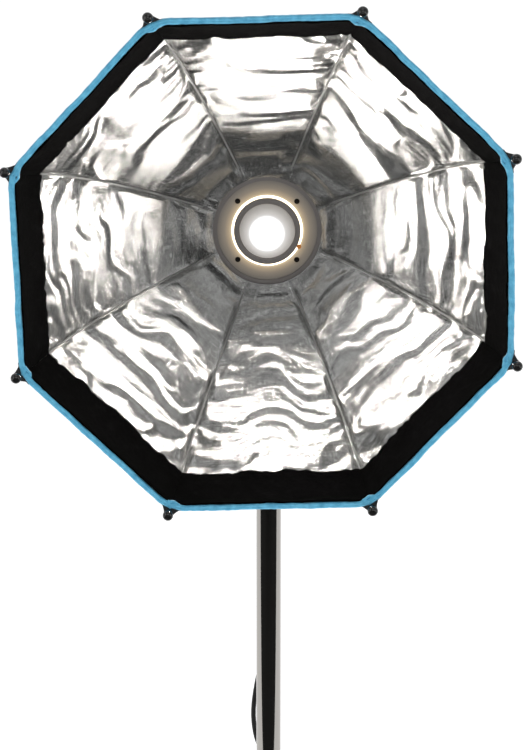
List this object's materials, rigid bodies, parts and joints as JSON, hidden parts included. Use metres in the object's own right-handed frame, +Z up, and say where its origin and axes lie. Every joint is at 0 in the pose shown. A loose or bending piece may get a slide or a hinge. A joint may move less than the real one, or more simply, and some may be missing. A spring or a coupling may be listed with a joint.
{
  "type": "studio softbox",
  "caption": "Folding octagonal softbox with a silver lining on a tilting studio lamp head, held on a chrome riser column with its mains lead.",
  "frame": {"origin": "on the riser column's axis at the shoulder of its mounting pin", "axes": "+Z up the riser column; the softbox opens towards -Y; +X to the right of a person facing the opening"},
  "size_m": [0.6316, 0.5994, 1.2938],
  "materials": {
    "chrome": "polished",
    "brushed_steel": "brushed",
    "black_casting": "powder coated",
    "black_plastic": "moulded",
    "case_paint": "textured paint",
    "grey_plastic": "moulded",
    "red_rocker": "gloss",
    "button_amber": "gloss",
    "black_rubber": "matt",
    "machined_aluminium": "turned",
    "plate_metal": "satin",
    "blackened_steel": "blackened",
    "dark_grey_metal": "satin",
    "frosted_glass": "frosted",
    "ceramic": "ceramic",
    "quartz": "clear",
    "lamp_glass": "clear",
    "amber_window": "gloss",
    "capacitor_sleeve": "sleeve",
    "board": "lacquered",
    "hook_and_loop": "looped",
    "spring_steel": "tempered",
    "gloss_black": "gloss",
    "shell_cloth": "woven",
    "silver_lining": "metallic woven",
    "blue_piping": "satin"
  },
  "bodies": {
    "column": {"junior_pin": "chrome", "riser_tube": "chrome", "lighting_stud": "brushed_steel"},
    "swivel": {"swivel_yoke": "black_casting", "pivot_bolt": "brushed_steel", "mains_lead": "black_rubber", "lead_coil": "black_rubber", "coil_tie": "hook_and_loop", "mains_plug": "black_rubber"},
    "yoke_knob": {"spigot_knob": "black_plastic"},
    "lever": {"tilt_lever": "black_plastic"},
    "lamp_head": {"tilt_bracket": "black_casting", "head_casing": "case_paint", "back_panel": "black_plastic", "mains_inlet": "black_plastic", "lead_connector": "black_rubber", "adapter_ring": "machined_aluminium", "front_plate": "plate_metal", "plate_screws": "blackened_steel", "dome_ring": "dark_grey_metal", "glass_dome": "frosted_glass", "lamp_socket": "ceramic", "flash_tube": "quartz", "modelling_lamp": "lamp_glass", "sensor_window": "amber_window", "capacitor_bank": "capacitor_sleeve", "circuit_board": "board", "fan_bracket": "blackened_steel"},
    "flash_control": {"flash_dial": "grey_plastic"},
    "lamp_control": {"lamp_dial": "grey_plastic"},
    "rocker": {"power_switch": "red_rocker"},
    "button": {"test_button": "button_amber"},
    "fan": {"fan_rotor": "black_plastic"},
    "ring": {"speed_ring": "machined_aluminium", "hinge_pins": "brushed_steel"},
    "lock_knob": {"ring_lock_knob": "black_plastic"},
    "rib_arm_1": {"rib_1": "spring_steel", "rib_tip_1": "gloss_black"},
    "gore_1": {"panel_1": "shell_cloth"},
    "rib_arm_2": {"rib_2": "spring_steel", "rib_tip_2": "gloss_black"},
    "gore_2": {"panel_2": "shell_cloth"},
    "rib_arm_3": {"rib_3": "spring_steel", "rib_tip_3": "gloss_black"},
    "gore_3": {"panel_3": "shell_cloth"},
    "rib_arm_4": {"rib_4": "spring_steel", "rib_tip_4": "gloss_black"},
    "gore_4": {"panel_4": "shell_cloth"},
    "rib_arm_5": {"rib_5": "spring_steel", "rib_tip_5": "gloss_black"},
    "gore_5": {"panel_5": "shell_cloth"},
    "rib_arm_6": {"rib_6": "spring_steel", "rib_tip_6": "gloss_black"},
    "gore_6": {"panel_6": "shell_cloth"},
    "rib_arm_7": {"rib_7": "spring_steel", "rib_tip_7": "gloss_black"},
    "gore_7": {"panel_7": "shell_cloth"},
    "rib_arm_8": {"rib_8": "spring_steel", "rib_tip_8": "gloss_black"},
    "gore_8": {"panel_8": "shell_cloth"}
  },
  "joints": [
    {"name": "pan", "type": "hinge", "parent": "column", "child": "swivel", "pos_m": [0, 0, 0.75], "axis": [0, 0, 1], "continuous": true},
    {"name": "yoke_clamp", "type": "hinge", "parent": "swivel", "child": "yoke_knob", "pos_m": [0, 0.04, 0.755], "axis": [0, 1, 0], "continuous": true},
    {"name": "lever_turn", "type": "hinge", "parent": "swivel", "child": "lever", "pos_m": [0.0264, 0, 0.825], "axis": [1, 0, 0], "range_deg": [-30, 45]},
    {"name": "tilt", "type": "hinge", "parent": "swivel", "child": "lamp_head", "pos_m": [0, 0, 0.825], "axis": [1, 0, 0], "range_deg": [-45, 45], "deforming": ["mains_lead"]},
    {"name": "flash_level", "type": "hinge", "parent": "lamp_head", "child": "flash_control", "pos_m": [-0.022, 0.19, 0.938], "axis": [0, 1, 0], "range_deg": [-135, 135]},
    {"name": "lamp_level", "type": "hinge", "parent": "lamp_head", "child": "lamp_control", "pos_m": [0.022, 0.19, 0.938], "axis": [0, 1, 0], "range_deg": [-135, 135]},
    {"name": "power_rock", "type": "hinge", "parent": "lamp_head", "child": "rocker", "pos_m": [0, 0.1885, 0.898], "axis": [1, 0, 0], "range_deg": [-16, 0]},
    {"name": "test_press", "type": "slide", "parent": "lamp_head", "child": "button", "axis": [0, -1, 0], "range_m": [0, 0.0015], "stiffness_N_per_m": 400},
    {"name": "fan_spin", "type": "hinge", "parent": "lamp_head", "child": "fan", "pos_m": [0, 0.136, 0.92], "axis": [0, 1, 0], "continuous": true},
    {"name": "softbox_turn", "type": "hinge", "parent": "lamp_head", "child": "ring", "pos_m": [0, -0.11, 0.92], "axis": [0, 1, 0], "continuous": true},
    {"name": "ring_clamp", "type": "hinge", "parent": "ring", "child": "lock_knob", "pos_m": [0.08496, -0.093, 0.92252], "axis": [0.9996, 0, 0.0297], "continuous": true},
    {"name": "fold", "type": "hinge", "parent": "ring", "child": "rib_arm_1", "pos_m": [0.07471, -0.10668, 0.95357], "axis": [0.4099, 0, -0.9121], "range_deg": [0, 45]},
    {"name": "rib_fold_2", "type": "hinge", "parent": "ring", "child": "rib_arm_2", "pos_m": [0.02908, -0.10668, 0.99657], "axis": [0.9348, 0, -0.3551], "range_deg": [0, 45]},
    {"name": "rib_fold_3", "type": "hinge", "parent": "ring", "child": "rib_arm_3", "pos_m": [-0.03358, -0.10668, 0.99471], "axis": [0.9121, 0, 0.4099], "range_deg": [0, 45]},
    {"name": "rib_fold_4", "type": "hinge", "parent": "ring", "child": "rib_arm_4", "pos_m": [-0.07657, -0.10668, 0.94908], "axis": [0.3551, 0, 0.9348], "range_deg": [0, 45]},
    {"name": "rib_fold_5", "type": "hinge", "parent": "ring", "child": "rib_arm_5", "pos_m": [-0.07471, -0.10668, 0.88643], "axis": [-0.4099, 0, 0.9121], "range_deg": [0, 45]},
    {"name": "rib_fold_6", "type": "hinge", "parent": "ring", "child": "rib_arm_6", "pos_m": [-0.02908, -0.10668, 0.84343], "axis": [-0.9348, 0, 0.3551], "range_deg": [0, 45]},
    {"name": "rib_fold_7", "type": "hinge", "parent": "ring", "child": "rib_arm_7", "pos_m": [0.03358, -0.10668, 0.84529], "axis": [-0.9121, 0, -0.4099], "range_deg": [0, 45]},
    {"name": "rib_fold_8", "type": "hinge", "parent": "ring", "child": "rib_arm_8", "pos_m": [0.07657, -0.10668, 0.89092], "axis": [-0.3551, 0, -0.9348], "range_deg": [0, 45]},
    {"name": "gore_fold_1", "type": "hinge", "parent": "ring", "child": "gore_1", "pos_m": [0.0519, -0.10668, 0.97507], "axis": [0.7278, 0, -0.6858], "range_deg": [0, 45], "deforming": ["panel_1"]},
    {"name": "gore_fold_2", "type": "hinge", "parent": "ring", "child": "gore_2", "pos_m": [-0.00225, -0.10668, 0.99564], "axis": [0.9996, 0, 0.0297], "range_deg": [0, 45], "deforming": ["panel_2"]},
    {"name": "gore_fold_3", "type": "hinge", "parent": "ring", "child": "gore_3", "pos_m": [-0.05507, -0.10668, 0.9719], "axis": [0.6858, 0, 0.7278], "range_deg": [0, 45], "deforming": ["panel_3"]},
    {"name": "gore_fold_4", "type": "hinge", "parent": "ring", "child": "gore_4", "pos_m": [-0.07564, -0.10668, 0.91775], "axis": [-0.0297, 0, 0.9996], "range_deg": [0, 45], "deforming": ["panel_4"]},
    {"name": "gore_fold_5", "type": "hinge", "parent": "ring", "child": "gore_5", "pos_m": [-0.0519, -0.10668, 0.86493], "axis": [-0.7278, 0, 0.6858], "range_deg": [0, 45], "deforming": ["panel_5"]},
    {"name": "gore_fold_6", "type": "hinge", "parent": "ring", "child": "gore_6", "pos_m": [0.00225, -0.10668, 0.84436], "axis": [-0.9996, 0, -0.0297], "range_deg": [0, 45], "deforming": ["panel_6"]},
    {"name": "gore_fold_7", "type": "hinge", "parent": "ring", "child": "gore_7", "pos_m": [0.05507, -0.10668, 0.8681], "axis": [-0.6858, 0, -0.7278], "range_deg": [0, 45], "deforming": ["panel_7"]},
    {"name": "gore_fold_8", "type": "hinge", "parent": "ring", "child": "gore_8", "pos_m": [0.07564, -0.10668, 0.92224], "axis": [0.0297, 0, -0.9996], "range_deg": [0, 45], "deforming": ["panel_8"]}
  ],
  "couplings": [
    {"joint": "rib_fold_2", "follows": "fold", "ratio": 1},
    {"joint": "rib_fold_3", "follows": "fold", "ratio": 1},
    {"joint": "rib_fold_4", "follows": "fold", "ratio": 1},
    {"joint": "rib_fold_5", "follows": "fold", "ratio": 1},
    {"joint": "rib_fold_6", "follows": "fold", "ratio": 1},
    {"joint": "rib_fold_7", "follows": "fold", "ratio": 1},
    {"joint": "rib_fold_8", "follows": "fold", "ratio": 1},
    {"joint": "gore_fold_1", "follows": "fold", "ratio": 1},
    {"joint": "gore_fold_2", "follows": "fold", "ratio": 1},
    {"joint": "gore_fold_3", "follows": "fold", "ratio": 1},
    {"joint": "gore_fold_4", "follows": "fold", "ratio": 1},
    {"joint": "gore_fold_5", "follows": "fold", "ratio": 1},
    {"joint": "gore_fold_6", "follows": "fold", "ratio": 1},
    {"joint": "gore_fold_7", "follows": "fold", "ratio": 1},
    {"joint": "gore_fold_8", "follows": "fold", "ratio": 1}
  ]
}
